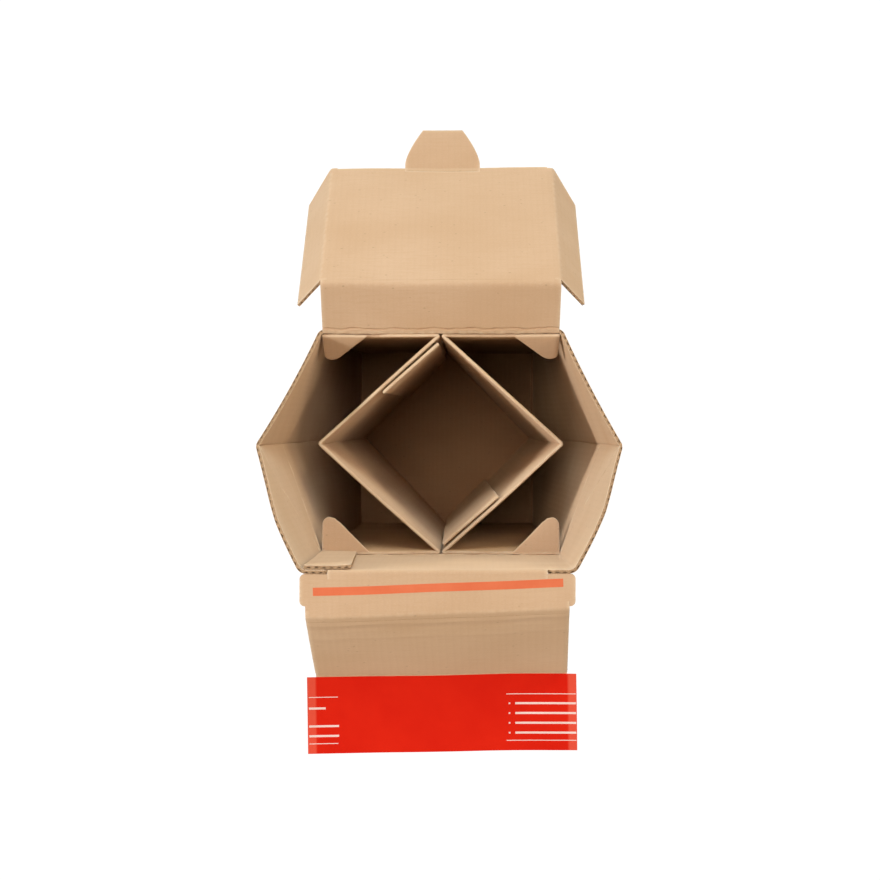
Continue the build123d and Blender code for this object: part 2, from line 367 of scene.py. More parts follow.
def foldBead(fold, seed):
    # a bead before the fold and a wavy groove behind it, each a bell curve across the fold
    def relief(u, v):
        uneven = 0.8 + 0.3 * ripple(u, 9, seed)
        line = 1.9 + 0.55 * ripple(u, 19, seed + 2)
        depth = fold["groove"] * (0.8 + 0.35 * ripple(u, 12, seed + 3))
        return fold["bead"] * uneven * bell((v + 0.6) / 1.1) - depth * bell((v - line) / 0.4)

    return relief


def everywhere(value):
    # an outline that stays at one value
    return lambda u: np.full(np.shape(u), float(value))


# Materials

def node(tree, kind, inputs=None, **settings):
    # an input is a socket to link or a value to set
    made = tree.nodes.new(kind)
    for key, value in settings.items():
        setattr(made, key, value)
    for key, value in (inputs or {}).items():
        if isinstance(value, bpy.types.NodeSocket):
            tree.links.new(value, made.inputs[key])
        else:
            made.inputs[key].default_value = value
    return made


def colour(red, green, blue):
    # a colour as a screen shows it, turned into the renderer's linear values
    def linear(value):
        # a straight line near black, and a power of 2.4 above it
        value /= 255
        return value / 12.92 if value <= 0.04045 else ((value + 0.055) / 1.055) ** 2.4

    return (linear(red), linear(green), linear(blue), 1.0)


def newMaterial(name, roughness, matt=0.0):
    # a material with its node tree and its shader
    material = bpy.data.materials.new(name)
    material.use_nodes = True
    tree = material.node_tree
    shader = tree.nodes["Principled BSDF"]
    shader.inputs["Roughness"].default_value = roughness
    shader.inputs["Diffuse Roughness"].default_value = matt
    return material, tree, shader


def flatMap(tree):
    # where a point lies on the flat sheet, in metres
    return node(tree, "ShaderNodeUVMap", uv_map="boardMap").outputs[0]


def stretched(tree, source, across, along):
    # the flat map in features per metre across and along the flutes
    return node(tree, "ShaderNodeMapping", {0: source, "Scale": (across, along, 1.0)}).outputs[0]


def noise(tree, vector, detail=3.0, roughness=0.55):
    # cloudy values between 0 and 1
    settings = {"Vector": vector, "Scale": 1.0, "Detail": detail, "Roughness": roughness}
    return node(tree, "ShaderNodeTexNoise", settings).outputs[0]


def ranged(tree, value, low, high, newLow, newHigh):
    # a value stretched evenly from one range to another, and held inside it
    settings = {"Value": value, "From Min": low, "From Max": high, "To Min": newLow, "To Max": newHigh}
    return node(tree, "ShaderNodeMapRange", settings).outputs[0]


def mixed(tree, factor, first, second, blend="MIX"):
    # 0, 6 and 7 are the factor and the two colours of a mix of colours
    made = node(tree, "ShaderNodeMix", data_type="RGBA", blend_type=blend)
    for key, value in ((0, factor), (6, first), (7, second)):
        if isinstance(value, bpy.types.NodeSocket):
            tree.links.new(value, made.inputs[key])
        else:
            made.inputs[key].default_value = value
    return made.outputs[2]


def calculated(tree, operation, first, second=0.0):
    # one operation on one or two values
    return node(tree, "ShaderNodeMath", {0: first, 1: second}, operation=operation).outputs[0]


def fluteWaves(tree, flat):
    # 1 over each crest of the flutes and -1 between them
    across = node(tree, "ShaderNodeSeparateXYZ", {0: flat}).outputs[0]
    phase = calculated(tree, "MULTIPLY", across, 2 * math.pi / (board["pitch"] * mm))
    return calculated(tree, "COSINE", phase)


def addBump(tree, shader, height, strength, distance=1.0):
    # the surface is lit as if it were raised by the height
    bump = node(tree, "ShaderNodeBump", {"Height": height, "Strength": strength, "Distance": distance})
    tree.links.new(bump.outputs[0], shader.inputs["Normal"])


kraft = dict(
    inside=colour(224, 193, 159),
    insideDark=colour(216, 182, 145),
    outside=colour(208, 170, 128),
    outsideDark=colour(197, 158, 116),
    # pale colour of rubbed board, also used as painted highlight along edges, folds and ridges
    wornAndHighlit=colour(240, 219, 190),
    speck=colour(140, 104, 72),
    washboard=0.018,  # how far the liner is darkened in stripes over the flute crests
    fibreBump=0.00004,
    washboardBump=0.000014,
)


def kraftLiner(name, light, dark):
    # blotches, long fibres, specks, faint darker stripes over the flute crests, and paler edges, folds and
    # ridges from scuffing and painted highlight
    material, tree, shader = newMaterial(name, 0.82, 1.0)
    flat = flatMap(tree)
    blotches = noise(tree, stretched(tree, flat, 14, 22), 4)
    fibres = noise(tree, stretched(tree, flat, 90, 800), 3, 0.6)
    fine = noise(tree, stretched(tree, flat, 900, 2600), 2, 0.6)
    tone = mixed(tree, ranged(tree, blotches, 0.32, 0.7, 0, 1), light, dark)
    tone = mixed(tree, ranged(tree, fibres, 0.45, 0.75, 0, 0.6), tone, dark)
    tone = mixed(tree, ranged(tree, fine, 0.5, 0.8, 0, 0.24), tone, kraft["wornAndHighlit"])
    cells = node(tree, "ShaderNodeTexVoronoi", {"Vector": stretched(tree, flat, 130, 260), "Scale": 1.0})
    tone = mixed(tree, ranged(tree, cells.outputs[0], 0.05, 0.1, 0.3, 0), tone, kraft["speck"])
    waves = fluteWaves(tree, flat)
    tone = mixed(tree, ranged(tree, waves, 0.2, 1, 0, kraft["washboard"]), tone, kraft["speck"])
    # painted highlight mixed with real scuffing: paler where the attribute is high, at cut edges, folds and
    # ridges
    wearAndHighlight = node(tree, "ShaderNodeAttribute", attribute_name="wearAndHighlight").outputs["Fac"]
    ragged = calculated(tree, "MULTIPLY", wearAndHighlight, ranged(tree, fibres, 0.3, 0.7, 0.3, 1.1))
    tone = mixed(tree, ranged(tree, ragged, 0.05, 0.75, 0, 0.8), tone, kraft["wornAndHighlit"])
    tree.links.new(tone, shader.inputs["Base Color"])
    rough = ranged(tree, blotches, 0.3, 0.7, 0.76, 0.9)
    tree.links.new(rough, shader.inputs["Roughness"])
    shader.inputs["Specular IOR Level"].default_value = 0.3
    fibreHeight = calculated(tree, "MULTIPLY", calculated(tree, "ADD", fibres, fine), kraft["fibreBump"])
    height = calculated(tree, "ADD", fibreHeight, calculated(tree, "MULTIPLY", waves, kraft["washboardBump"]))
    addBump(tree, shader, height, 0.9)
    return material


def fluteMedium():
    # the darker, rougher paper between the liners
    material, tree, shader = newMaterial("flute_medium", 0.9, 1.0)
    fibres = noise(tree, stretched(tree, flatMap(tree), 700, 900), 3)
    tone = mixed(tree, ranged(tree, fibres, 0.35, 0.7, 0, 1), colour(206, 172, 134), colour(176, 140, 104))
    tree.links.new(tone, shader.inputs["Base Color"])
    addBump(tree, shader, fibres, 0.4, 0.0001)
    return material


boardMaterials = [
    kraftLiner("kraft_inside", kraft["inside"], kraft["insideDark"]),
    kraftLiner("kraft_outside", kraft["outside"], kraft["outsideDark"]),
    fluteMedium(),
]
print("materials made")


def boardPiece(name, solids, body, *nodes):
    # board that moves with one body
    piece = makeObject(name, solids, boardMaterials, body)
    if nodes:
        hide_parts(*nodes)
    return piece


def foldStrip(name, style, origin, axis, before, after, reach, shift, seed, alongU=True):
    # board across a fold; before and after are the directions of the two panels, and reach is
    # where the fold starts and ends
    size = board["foldReach"]
    fold = folds[style]
    if alongU:
        mid = lambda u, v: origin + u[..., None] * axis + roundedLine(v, before, after, fold["radius"])
        solids = boardSheet(
            mid,
            columnsBetween(*reach, 1.2),
            everywhere(-size),
            everywhere(size),
            rows=28,
            cuts=(False, False, True, True),
            press=pressedFold(fold, seed, True),
            relief=foldBead(fold, seed),
            shift=shift,
        )
    else:
        low, high = reach
        mid = lambda u, v: origin + v[..., None] * axis + roundedLine(u, before, after, fold["radius"])
        solids = boardSheet(
            mid,
            np.linspace(-size, size, 25),
            low,
            high,
            rows=50,
            cuts=(True, True, False, False),
            press=pressedFold(fold, seed, False),
            shift=shift,
        )
    strip = makeObject(name, solids, boardMaterials)
    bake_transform(strip)
    return strip


# Outer case
case = dict(
    width=122.0,
    depth=125.0,
    depthAtRim=114.6,
    backHeight=352.0,
    coverHeight=114.0,
    bulgeAtFloor=0.5,
    bulgeAtRim=25.0,
    cornerRadius=2.2,
    sideRadius=0.7,  # of the crease in the middle of each side
    coverBulge=2.0,  # how far the cover's side edges bow outwards
    lidReach=59.0,  # half the length of the fold that carries the lid
    tearReach=48.3,  # and of the one that carries the closure
    # points of the perforated line: share of the way from a side's crease to the front corner,
    # and height above the back wall
    gussetLeft=((0, 56), (0.17, 53), (0.35, 49), (0.68, 28), (1, 0)),
    gussetRight=((1, 0), (0.81, 8), (0.62, 17), (0.52, 28), (0.17, 51), (0, 56)),
    gussetBack=-14.0,
    foldLevels=(340, 332, 344, 351, 351, 346, 340),  # heights of the level fold at the corners
    ridgeHeight=0.45,
    outerScuffAndHighlight=0.25,  # how much of the ridges' scuffing and painted highlight shows outside
    cornerScuff=0.3,
)
case["frontHeight"] = case["backHeight"] + case["coverHeight"]
case["lean"] = (case["depth"] - case["depthAtRim"]) / 2 / case["backHeight"]
growth = (case["bulgeAtRim"] - case["bulgeAtFloor"]) / (case["backHeight"] + case["coverHeight"] / 2)
sideHalf = case["depth"] / 2
# u runs round the case from the right back corner: back, left, front and right walls
stations = np.cumsum([0, case["width"], sideHalf, sideHalf, case["width"], sideHalf, sideHalf])
girth = stations[-1]


def caseCorners(z):
    # the back and front walls lean in with the height, and the sides' creases move out with it
    y = case["depth"] / 2 - case["lean"] * z - half
    x = np.full_like(z, case["width"] / 2 - half)
    crease = x + case["bulgeAtFloor"] + growth * z
    zero = np.zeros_like(z)
    return [(x, y), (-x, y), (-crease, zero), (-x, -y), (x, -y), (crease, zero), (x, y)]


def fromSideCrease(u):
    # distance from the nearer one of the two creases
    at = np.mod(u, girth)
    return np.minimum(np.abs(at - stations[2]), np.abs(at - stations[5]))


def caseSection(u, z):
    # straight lines between the corners, averaged over the corner radius
    corners = caseCorners(z)
    share = smoothStep((fromSideCrease(u) - 3) / 6)
    radius = case["sideRadius"] + (case["cornerRadius"] - case["sideRadius"]) * share
    steps = np.linspace(-1, 1, 7)
    total = 0
    for step in steps:
        total = total + alongCorners(np.mod(u + step * radius, girth), corners, stations)
    return total / len(steps)


def rimHeight(u):
    # level over the back and front walls, one slant over the sides
    z = np.full(np.shape(u), case["frontHeight"])
    back = foldPoint["riser_fold"][1]
    front = foldPoint["tear_fold"][1]
    # the walls lean, so the height and the depth are found by turns
    for _ in range(4):
        share = np.clip((back - caseSection(u, z)[..., 1]) / (back - front), 0, 1)
        z = case["backHeight"] + case["coverHeight"] * share
    return z


def gussetHeight(u):
    # perforated line: level on the front wall, curved over the front half of each side
    leftShare, leftRise = np.array(case["gussetLeft"]).T
    rightShare, rightRise = np.array(case["gussetRight"]).T
    left = stations[2] + (stations[3] - stations[2]) * leftShare
    right = stations[5] - (stations[5] - stations[4]) * rightShare
    places = np.concatenate([[0, stations[1]], left, right, [girth]])
    back = [case["gussetBack"]]
    rises = np.concatenate([back, back, leftRise, rightRise, back])
    return np.interp(np.mod(u, girth), places, case["backHeight"] + rises)


def foldLevel(u):
    # a faint ridge runs round the front half of the sides, level with the front score line
    return np.interp(np.mod(u, girth), stations, case["foldLevels"])


def onFront(u):
    # 1 on the front wall and the front halves of the sides, 0 at the back
    at = np.mod(u, girth)
    return ((at > stations[2] + 1.5) & (at < stations[5] - 1.5)).astype(float)


def caseMid(u, v):
    # the section at height v, with each front side edge moved out by half a sine wave above the gusset
    flat = caseSection(u, v)
    at = np.mod(u, girth)
    bow = np.zeros_like(flat[..., 0])
    for first, last, side in ((stations[2], stations[3], -1), (stations[4], stations[5], 1)):
        share = np.clip((at - first) / (last - first), 0, 1)
        rise = np.clip((v - gussetHeight(u)) / 60, 0, 1)
        bow = bow + side * np.sin(math.pi * share) * rise * case["coverBulge"]
    return np.stack([flat[..., 0] + bow, flat[..., 1], v], -1)


def caseHigh(u):
    # the rim, less half a fold strip where the lid or the closure is hinged on
    at = np.mod(u, girth)
    rim = rimHeight(at)
    x = caseSection(at, rim)[..., 0]
    underLid = (at < stations[1]) & (np.abs(x) < case["lidReach"])
    underTear = (at > stations[3]) & (at < stations[4]) & (np.abs(x) < case["tearReach"])
    return rim - np.where(underLid | underTear, board["foldReach"], 0.25)


def caseColumns():
    # close columns round the six creases and at the ends of the folded edges
    marks = []
    for k in range(6):
        first, last = stations[k], stations[k + 1]
        spacing = 1.3 if k in (2, 4) else 2.6
        marks.append(np.linspace(first + 3, last - 3, round((last - first) / spacing)))
        marks.append(first + np.array([-2.2, -1.4, -0.8, -0.4, 0, 0.4, 0.8, 1.4, 2.2]))
    middle = case["width"] / 2
    for centre, reach in ((middle, case["lidReach"]), (stations[3] + middle, case["tearReach"])):
        for side in (-1, 1):
            marks.append(centre + side * jumpAt(reach))
    return np.unique(np.round(np.mod(np.concatenate(marks), girth), 3))


def casePress(u, v):
    # pressed lines at the gussets and the side creases, with uneven perforations
    off = (v - gussetHeight(u) + 0.7 * ripple(u, 11, 21)) * onFront(u)
    line = bell(off / 0.6) * onFront(u)
    cuts = 0.6 + 0.4 * np.sign(np.sin(u * 2 * math.pi / 5.2 + 2 * ripple(u, 23, 22)))
    crease = bell(fromSideCrease(u) / 0.6) * (0.8 + 0.2 * ripple(v, 17, 26))
    return (1 - 0.6 * line * cuts) * (1 - 0.4 * crease)


def caseRidges(u, v):
    # raised beads beside the gusset line and along the level fold, pale with scuffing and painted highlight
    gusset = v - gussetHeight(u) + 0.7 * ripple(u, 11, 21)
    level = v - foldLevel(u) + 0.6 * ripple(u, 29, 25)
    first = np.clip(0.45 + 0.6 * ripple(u, 31, 24), 0, 1) * bell((gusset - 1.2) / 0.7)
    second = np.clip(0.7 + 0.5 * ripple(u, 19, 27), 0, 1) * bell(level / 0.8)
    return np.maximum(first, second) * onFront(u)


def caseLevels(rim, level, gusset):
    # heights that crowd round the level fold, the gusset line and the rim
    gusset = np.clip(gusset, level, rim - 5.2)
    foot, last = np.full_like(rim, 0.02), rim - 1.2
    marks = [foot, level - 4, level + 4, gusset - 4, gusset + 4, last]
    for k in (3, 4, 5):
        marks[k] = np.maximum(marks[k], marks[k - 1] + 0.3)
    counts = (20, 14, 5, 14, 7)
    rows = [
        low[:, None] + (high - low)[:, None] * np.linspace(0, 1, count + 1)[:-1]
        for low, high, count in zip(marks[:-1], marks[1:], counts)
    ]
    rows.append(rim[:, None] - np.array([1.1, 0.7, 0.38, 0.12, 0.0]))
    return np.concatenate(rows, 1)


def caseWalls():
    # the two liners from the floor to the rim, and the waved medium near the rim
    columns = caseColumns()
    rim = caseHigh(columns)
    v = caseLevels(rim, foldLevel(columns), gussetHeight(columns))
    u = np.repeat(columns[:, None], v.shape[1], 1)
    below = rim[:, None] - v
    ridges = caseRidges(u, v)
    share = (1 - board["crush"] * np.exp(-below / board["crushReach"])) * casePress(u, v)
    corner = np.min([np.abs(np.mod(u - s + girth / 2, girth) - girth / 2) for s in stations[:-1]], 0)
    creased = case["cornerScuff"] * bell(corner / 0.9) * (0.6 + 0.4 * ripple(v, 13, 23))
    centre, normal = surfaceFrame(caseMid, u, v)
    solids = []
    for side in (1, -1):
        # inside the ridges are beads, pale with scuffing and painted highlight; outside they are grooves and
        # nearly clean
        scuffAndHighlight = ridges * (case["outerScuffAndHighlight"] if side == 1 else 1)
        wornAndHighlit = np.max([np.exp(-below / 0.8), scuffAndHighlight, creased], 0)
        burr = board["burr"] * np.exp(-below / 0.4) if side == -1 else 0
        outer = side * half * share - case["ridgeHeight"] * ridges
        inner = outer - side * (board["liner"] + burr)
        top, bottom = (outer, inner) if side == 1 else (inner, outer)
        slots, offset = ((1, 2, 2), board["mapGap"]) if side == 1 else ((2, 0, 2), 0)
        solids.append(gridSolid(centre, normal, top, bottom, u + offset, v, wornAndHighlit, slots, ring=True))
    # the medium shows only at the rim
    flutes = round(girth / board["pitch"])
    fine = np.linspace(0, girth, flutes * board["samplesPerFlute"] + 1)[:-1]
    fineRim = np.interp(fine, np.append(columns, girth + columns[0]), np.append(rim, rim[0]))
    v = fineRim[:, None] - np.array([9, 6, 3, 1.2, 0.5, 0])
    u = np.repeat(fine[:, None], v.shape[1], 1)
    below = fineRim[:, None] - v
    share = 1 - board["crush"] * np.exp(-below / board["crushReach"])
    thick = board["medium"] + board["fray"] * np.exp(-below / 0.5)
    reach = half * share * casePress(u, v) - board["liner"] - thick / 2
    wave = reach * np.sin(u * 2 * math.pi * flutes / girth)
    centre, normal = surfaceFrame(caseMid, u, v)
    top, bottom = wave + thick / 2, wave - thick / 2
    mapU = u + board["mapGap"] * 2
    solids.append(gridSolid(centre, normal, top, bottom, mapU, v, wave * 0, (2, 2, 2), ring=True))
    return solids


boardPiece("case_walls", caseWalls(), "box", "outer_case")

floorLayer = dict(
    slot=1.5,  # gap at the right and back edges of the inner layer
    level=3.0,
    overlap=0.6,
    holeInset=1.9,
    holes=((-1, 0.8), (1, 1.5)),  # side and width of each pin hole
)
innerX = case["width"] / 2 - board["thickness"]
innerY = case["depth"] / 2 - board["thickness"]


def levelMid(z):
    # level sheet: u is x and v is y
    return lambda u, v: np.stack([u, v, np.full_like(u, z)], -1)


def underFar(u):
    # reaches into the back wall, with a pin hole beside each corner
    far = np.full(np.shape(u), innerY + floorLayer["overlap"])
    for side, width in floorLayer["holes"]:
        first = innerX - floorLayer["holeInset"]
        hole = (side * u > first) & (side * u < first + width)
        far = np.where(hole, innerY - width, far)
    return far


underReach = innerX + floorLayer["overlap"]
underColumns = [np.linspace(-underReach, underReach, 30)]
for side, width in floorLayer["holes"]:
    for place in (innerX - floorLayer["holeInset"], innerX - floorLayer["holeInset"] + width):
        underColumns.append(jumpAt(side * place, 0.02))
underSheet = boardSheet(
    levelMid(half),
    np.unique(np.concatenate(underColumns)),
    everywhere(-innerY - floorLayer["overlap"]),
    underFar,
    cuts=(False, False, False, False),
    rows=20,
    shift=(300, 300),
    closed=True,
)
innerSheet = boardSheet(
    levelMid(floorLayer["level"]),
    columnsBetween(-innerX, innerX - floorLayer["slot"], 4),
    everywhere(-innerY),
    everywhere(innerY - floorLayer["slot"]),
    rows=20,
    shift=(900, 300),
    closed=True,
)
boardPiece("case_floor_under", underSheet, "box")
boardPiece("case_floor_inner", innerSheet, "box")

jointFlap = dict(
    width=21.0,
    slant=4.0,
    margin=1.0,
    glue=0.1,
    cornerInset=2.4,
    curl=0.5,  # how far the flap's free corner comes off the wall
    curlWidth=8.0,
    curlHeight=30.0,
)


def jointFlapSheet():
    # lies on the inner face of the upper front wall, beside the left corner
    left = -case["width"] / 2 + jointFlap["cornerInset"]
    right = -case["width"] / 2 + board["thickness"] + jointFlap["width"]
    bottom = case["backHeight"] + 2 * jointFlap["glue"]
    top = case["frontHeight"] - jointFlap["margin"]
    inward = board["thickness"] + jointFlap["glue"]

    def mid(u, v):
        # parallel to the wall; two smooth steps, multiplied, lift the free corner
        y = -(case["depth"] / 2 - case["lean"] * v - half) + inward
        acrossCurl = smoothStep((u - right + jointFlap["curlWidth"]) / jointFlap["curlWidth"])
        upCurl = smoothStep((v - top + jointFlap["curlHeight"]) / jointFlap["curlHeight"])
        return np.stack([u, y + jointFlap["curl"] * acrossCurl * upCurl, v], -1)

    def lift(u):
        # the end of the flap is slanted
        past = np.clip(u - right + jointFlap["slant"], 0, None) / jointFlap["slant"]
        return bottom + 0.995 * past * (top - bottom)

    return boardSheet(
        mid,
        columnsBetween(left, right, 1.0),
        lift,
        everywhere(top),
        rows=14,
        inside=-1,
        cuts=(True, True, False, True),
        shift=(1600, 0),
    )


boardPiece("joint_flap", jointFlapSheet(), "box")
print("case made")


# Lid: riser, lid panel, dust flaps and tongue
lid = dict(
    reach=59.0,
    dustTurn=-50.0,
    dustDepth=18.3,
    dustInset=2.0,
    dustSlant=12.5,
    tongueSlope=-28.0,
    tongueBase=20.0,
    tongueDrop=9.4,  # how much narrower each side of the tongue is at its tip
    tongueLength=25.5,
    tongueCurve=1.5,
    farSkew=0.9,  # how much the far edge is askew at each end
    crown=0.9,
)
size = board["foldReach"]
xAxis = np.array([1.0, 0.0, 0.0])
riserRoot, lidRoot, tongueRoot = (foldPoint[n] for n in ("riser_fold", "lid_fold", "tongue_fold"))
riserDirection = unit(lidRoot - riserRoot)
lidDirection = unit(tongueRoot - lidRoot)
lidNormal = np.cross(xAxis, lidDirection)
riserLength = np.linalg.norm(lidRoot - riserRoot)
lidLength = np.linalg.norm(tongueRoot - lidRoot)
slope = math.radians(lid["tongueSlope"])
tongueDirection = np.array([0.0, math.cos(slope), math.sin(slope)])
backWall = unit(np.array([0.0, -case["lean"], 1.0]))


def panelMid(origin, xDir, yDir):
    # flat panel: the origin, plus u along one direction, plus v along the other
    return lambda u, v: origin + u[..., None] * xDir + v[..., None] * yDir


def bowed(mid, normal, height, width, length):
    # crowned panel: moved along its normal by a cosine across times half a sine wave along
    def moved(u, v):
        acrossShare = np.cos(np.clip(u / width, -1, 1) * math.pi / 2)
        alongShare = np.sin(np.clip(v / length, 0, 1) * math.pi)
        return mid(u, v) + (height * acrossShare * alongShare)[..., None] * normal

    return moved


caseTop, caseFront = case["backHeight"], case["frontHeight"]
lidSpan = (-lid["reach"], lid["reach"])
lidStart = caseTop + riserLength
foldStrip(
    "riser_crease",
    "riser",
    riserRoot,
    xAxis,
    backWall,
    riserDirection,
    lidSpan,
    (0, caseTop),
    31,
)
riserSheet = boardSheet(
    panelMid(riserRoot, xAxis, riserDirection),
    columnsBetween(*lidSpan, 2.6),
    everywhere(size),
    everywhere(riserLength - size),
    cuts=(False, False, True, True),
    shift=(0, caseTop),
)
boardPiece("riser_panel", riserSheet, "riser", "lid_riser")
foldStrip(
    "lid_crease",
    "lid",
    lidRoot,
    xAxis,
    riserDirection,
    lidDirection,
    lidSpan,
    (0, lidStart),
    32,
)


def lidColumns():
    # even, with a jump on each side of the tongue
    inner = lid["reach"] - size
    marks = [np.linspace(-inner, inner, 48)]
    for side in (-1, 1):
        marks.append(side * jumpAt(lid["tongueBase"]))
    return np.unique(np.concatenate(marks))


def lidFar(u):
    # the far edge is cut a little askew
    askew = lidLength + lid["farSkew"] * u / lid["reach"]
    return np.where(np.abs(u) < lid["tongueBase"], lidLength - size, askew)


lidSheet = boardSheet(
    bowed(panelMid(lidRoot, xAxis, lidDirection), lidNormal, lid["crown"], lid["reach"] - size, lidLength),
    lidColumns(),
    everywhere(size),
    lidFar,
    rows=30,
    cuts=(False, True, False, False),
    shift=(0, lidStart),
)
boardPiece("lid_sheet", lidSheet, "lid", "lid_panel")
tongueSpan = (-lid["tongueBase"], lid["tongueBase"])
tongueStart = (0, lidStart + lidLength)
foldStrip(
    "tongue_crease",
    "tongue",
    tongueRoot,
    xAxis,
    lidDirection,
    tongueDirection,
    tongueSpan,
    tongueStart,
    33,
)


def tongueHigh(u):
    # the sides curve in towards the tip
    share = np.clip((lid["tongueBase"] - np.abs(u)) / lid["tongueDrop"], 0, 1)
    return size + (lid["tongueLength"] - size) * share ** (1 / lid["tongueCurve"])


sides = lid["tongueBase"] - lid["tongueDrop"] * np.linspace(0, 1, 22) ** lid["tongueCurve"]
tongueColumns = np.unique(np.concatenate([sides, -sides, np.linspace(-sides[-1], sides[-1], 14)]))
# the outermost columns lie just inside, where the tongue has some length
tongueColumns[0] += 0.01
tongueColumns[-1] -= 0.01
tongueSheet = boardSheet(
    panelMid(tongueRoot, xAxis, tongueDirection),
    tongueColumns,
    everywhere(size),
    tongueHigh,
    cuts=(False, True, True, True),
    shift=tongueStart,
)
boardPiece("tongue_sheet", tongueSheet, "tongue", "lid_tongue")

for side, word in ((1, "right"), (-1, "left")):
    hinge = lidRoot + xAxis * side * lid["reach"]
    out = turned(xAxis * side, lidDirection, -side * lid["dustTurn"])
    across = out * side  # u grows to the right on both flaps, so that the inside stays up
    before, after = (xAxis, across) if side == 1 else (across, xAxis)
    depth = lid["dustDepth"]

    def dustNear(u):
        # starts beside the lid's own fold strip, and a little nearer on the flap
        return size + (lid["dustInset"] - size) * smoothStep(side * u)

    def dustFar(u):
        # slants back from the lid's corner
        return lidLength - (lid["dustInset"] + lid["dustSlant"]) * np.clip(side * u, 0, None) / depth

    foldStrip(
        f"dust_crease_{word}",
        "dust",
        hinge,
        lidDirection,
        before,
        after,
        (dustNear, dustFar),
        (side * lid["reach"], lidStart),
        40 + side,
        alongU=False,
    )
    columns = columnsBetween(size, depth, 1.6)
    columns = columns if side == 1 else -columns[::-1]
    flapSheet = boardSheet(
        panelMid(hinge, across, lidDirection),
        columns,
        dustNear,
        dustFar,
        rows=24,
        cuts=(True, True, side == -1, side == 1),
        shift=(side * lid["reach"], lidStart),
    )
    boardPiece(f"dust_flap_sheet_{word}", flapSheet, "dust_" + word, "dust_flap_" + word)
print("lid made")


# Closure: tear panel, long panel and seal panel
closure = dict(
    reach=57.8,
    skew=2.0,
    sealSkew=-2.4,
    sealTurn=54.0,
    sealLength=35.5,
    earWidth=2.5,
    earLength=14.0,
    earRadius=2.2,
    slit=0.9,
    crown=0.8,
    crownWidth=70.0,
    creases=((5.6, 0.34, 1.1), (9.4, -0.3, 1.4), (17.0, 0.26, 1.6)),  # place, height, width
    creaseSlant=0.006,
)
tearRoot, longRoot, sealRoot = (foldPoint[n] for n in ("tear_fold", "long_fold", "seal_fold"))
tearX, longX, sealX = (foldAxis[n] for n in ("tear_fold", "long_fold", "seal_fold"))
tearDirection = unit(longRoot - tearRoot)
tearLength = np.linalg.norm(longRoot - tearRoot)
longDirection = unit(sealRoot - longRoot)
longLength = np.linalg.norm(sealRoot - longRoot)
up = np.array([0.0, 0.0, 1.0])
longBack = unit(np.cross(np.cross(longX, tearDirection), longX))
longAway = unit(np.cross(np.cross(longX, longDirection), longX))
sealBack = unit(np.cross(np.cross(sealX, longDirection), sealX))
sealDirection = turned(sealBack, sealX, closure["sealTurn"])
frontWall = unit(np.array([0.0, case["lean"], 1.0]))


def earBend(u):
    # how far the ears' round corners pull in
    start = closure["reach"] + closure["earWidth"] - closure["earRadius"]
    past = np.clip((np.abs(u) - start) / closure["earRadius"], 0, 1)
    return closure["earRadius"] * (1 - np.sqrt(1 - past**2))


def tearLow(u):
    # the fold strip's edge in the middle, and the slit under each ear
    return np.where(np.abs(u) < case["tearReach"], size, closure["slit"] + earBend(u))


def tearHigh(u):
    # the skewed fold of the long panel in the middle, and the ears' far ends beside it
    fold = tearLength + u * math.tan(math.radians(closure["skew"])) - size
    ear = closure["slit"] + closure["earLength"] - earBend(u)
    return np.where(np.abs(u) < closure["reach"], fold, ear)


def tearColumns():
    # even, with jumps at the fold's ends and close columns round the ears
    marks = [np.linspace(-closure["reach"] + 1, closure["reach"] - 1, 50)]
    ear = closure["earWidth"] * np.sin(np.linspace(0, 0.495 * math.pi, 7))
    for side in (-1, 1):
        marks.append(side * jumpAt(case["tearReach"]))
        marks.append(side * jumpAt(closure["reach"]))
        marks.append(side * (closure["reach"] + ear[1:]))
    return np.unique(np.concatenate(marks))


tearSpan = (-case["tearReach"], case["tearReach"])
closureSpan = (-closure["reach"], closure["reach"])
longStart = (0, caseFront + tearLength)
sealStart = (0, caseFront + tearLength + longLength)
foldStrip(
    "tear_crease",
    "tear",
    tearRoot,
    tearX,
    frontWall,
    tearDirection,
    tearSpan,
    (0, caseFront),
    51,
)
tearSheet = boardSheet(
    panelMid(tearRoot, tearX, tearDirection),
    tearColumns(),
    tearLow,
    tearHigh,
    cuts=(False, False, True, True),
    shift=(0, caseFront),
)
boardPiece("tear_sheet", tearSheet, "tear", "tear_panel")
foldStrip(
    "long_crease", "long", longRoot, longX, longBack, longAway, closureSpan, longStart, 52
)


def longRelief(u, v):
    # soft cross creases where the panel has been bent over before
    total = np.zeros_like(u)
    for k, (place, height, width) in enumerate(closure["creases"]):
        line = place + u * closure["creaseSlant"] + 0.5 * ripple(u, 70, 60 + k)
        total = total + height * bell((v - line) / width) * (0.75 + 0.25 * ripple(u, 37, 70 + k))
    return total


longSkew = math.tan(math.radians(closure["sealSkew"]))
longNormal = np.cross(longX, longDirection)
longMid = panelMid(longRoot, longX, longDirection)
longSheet = boardSheet(
    bowed(longMid, longNormal, closure["crown"], closure["crownWidth"], longLength),
    columnsBetween(*closureSpan, 2.6),
    everywhere(size),
    lambda u: longLength + u * longSkew - size,
    rows=60,
    cuts=(False, False, True, True),
    relief=longRelief,
    shift=longStart,
)
boardPiece("long_sheet", longSheet, "long", "long_panel")
foldStrip(
    "seal_crease",
    "seal",
    sealRoot,
    sealX,
    sealBack,
    sealDirection,
    closureSpan,
    sealStart,
    53,
)
sealSheet = boardSheet(
    panelMid(sealRoot, sealX, sealDirection),
    columnsBetween(*closureSpan, 2.6),
    everywhere(size),
    everywhere(closure["sealLength"]),
    rows=10,
    cuts=(False, True, True, True),
    shift=sealStart,
)
boardPiece("seal_sheet", sealSheet, "seal", "seal_panel")
print("closure made")


